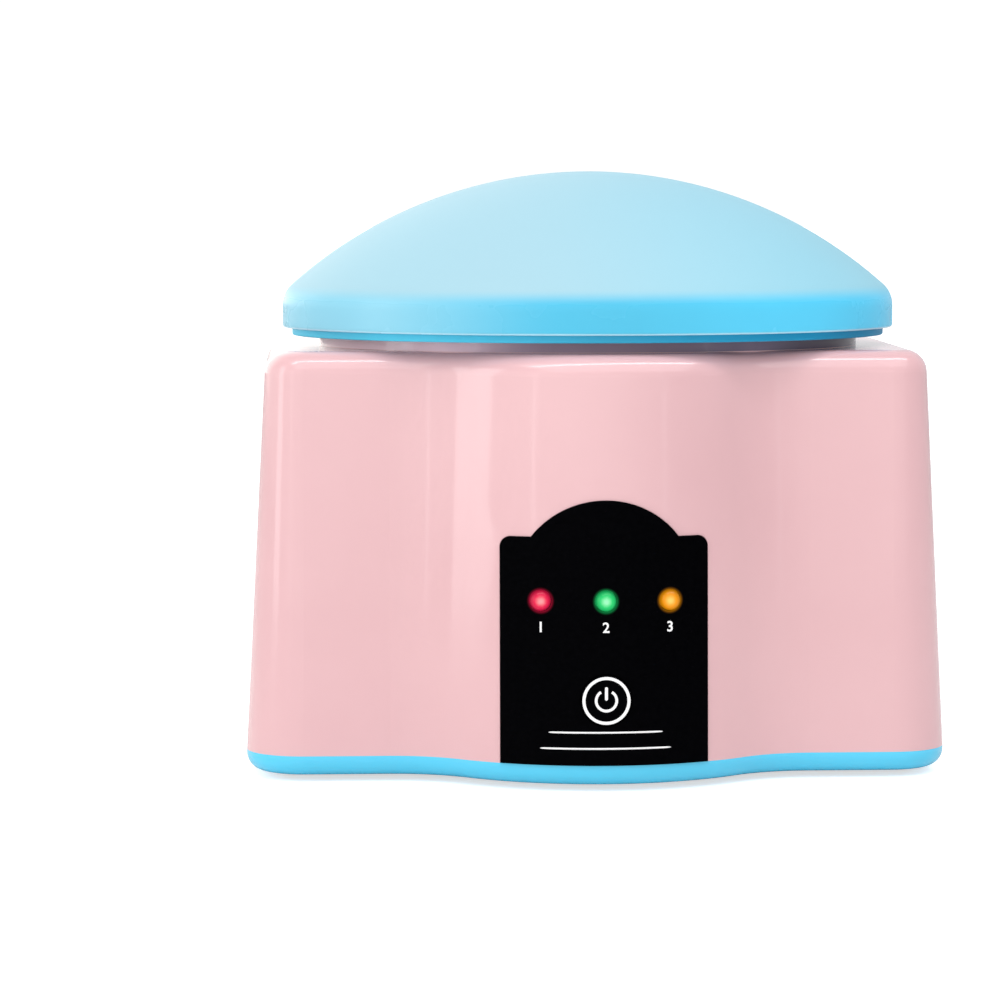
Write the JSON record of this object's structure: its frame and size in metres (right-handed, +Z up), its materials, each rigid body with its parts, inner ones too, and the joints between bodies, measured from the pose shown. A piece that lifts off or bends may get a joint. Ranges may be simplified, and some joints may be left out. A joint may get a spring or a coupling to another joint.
{
  "type": "gel polish remover machine",
  "caption": "Countertop finger steamer that loosens gel nail polish: bowed housing with a control panel, heated well, finger sleeves and a hinged oval cover.",
  "frame": {"origin": "on the table, under the centre of the machine's box", "axes": "+Z up, -Y towards the user (the control panel's side), +X to the user's right"},
  "size_m": [0.17, 0.125, 0.146],
  "materials": {
    "housing_pink": "glossy",
    "cover_blue": "glossy",
    "base_blue": "glossy",
    "liner_blue": "satin",
    "panel_black": "glossy",
    "button_black": "glossy",
    "lamp_red": "clear, lit",
    "lamp_green": "clear, lit",
    "lamp_amber": "clear, lit",
    "foot_rubber": "matte",
    "silicone_white": "satin",
    "silicone_grey": "satin",
    "plate_white": "satin",
    "well_white": "satin",
    "steel": "zinc plated",
    "aluminium": "satin",
    "dish_steel": "polished",
    "element_grey": "satin",
    "insulation_cream": "matte",
    "board_green": "satin",
    "part_black": "matte",
    "connector_white": "satin",
    "plunger_red": "satin",
    "nickel": "nickel plated",
    "wire_red": "satin",
    "wire_white": "satin"
  },
  "bodies": {
    "machine": {"main_housing": "housing_pink", "control_panel": "panel_black", "base_tray": "base_blue", "base_screws": "steel", "rubber_foot_1": "foot_rubber", "rubber_foot_2": "foot_rubber", "rubber_foot_3": "foot_rubber", "rubber_foot_4": "foot_rubber", "indicator_lamp_1": "lamp_red", "indicator_lamp_2": "lamp_green", "indicator_lamp_3": "lamp_amber", "tact_switch": "part_black", "control_board": "board_green", "board_screws": "steel", "buzzer": "part_black", "capacitor": "part_black", "power_transistor": "part_black", "wire_header": "connector_white", "supply_jack": "part_black", "jack_nut": "nickel", "steam_well": "well_white", "heater_seal": "silicone_grey", "heater_plate": "aluminium", "heater_element": "element_grey", "insulation_pad": "insulation_cream", "heater_strap": "steel", "strap_screws": "steel", "thermostat": "nickel", "thermostat_screws": "steel", "thermal_fuse": "nickel", "evaporating_dish": "dish_steel", "finger_plate": "plate_white", "finger_sleeve_1": "silicone_white", "finger_sleeve_2": "silicone_white", "finger_sleeve_3": "silicone_white", "finger_sleeve_4": "silicone_white", "finger_sleeve_5": "silicone_white", "cover_seal": "silicone_grey", "hinge_pin": "steel", "supply_wires": "wire_red", "heater_wires": "wire_white"},
    "cover": {"cover_shell": "cover_blue", "cover_liner": "liner_blue"},
    "button": {"power_button": "button_black"},
    "plunger": {"switch_plunger": "plunger_red"}
  },
  "joints": [
    {"name": "cover_hinge", "type": "hinge", "parent": "machine", "child": "cover", "pos_m": [0, 0.0585, 0.107], "axis": [-1, 0, 0], "range_deg": [0, 105]},
    {"name": "power_button_press", "type": "slide", "parent": "machine", "child": "button", "axis": [0, 1, 0], "range_m": [0, 0.0006], "stiffness_N_per_m": 3000, "springref_m": -0.0003},
    {"name": "switch_plunger_press", "type": "slide", "parent": "machine", "child": "plunger", "axis": [0, 1, 0], "range_m": [0, 0.0006]}
  ],
  "couplings": [
    {"joint": "switch_plunger_press", "follows": "power_button_press", "ratio": 1}
  ]
}
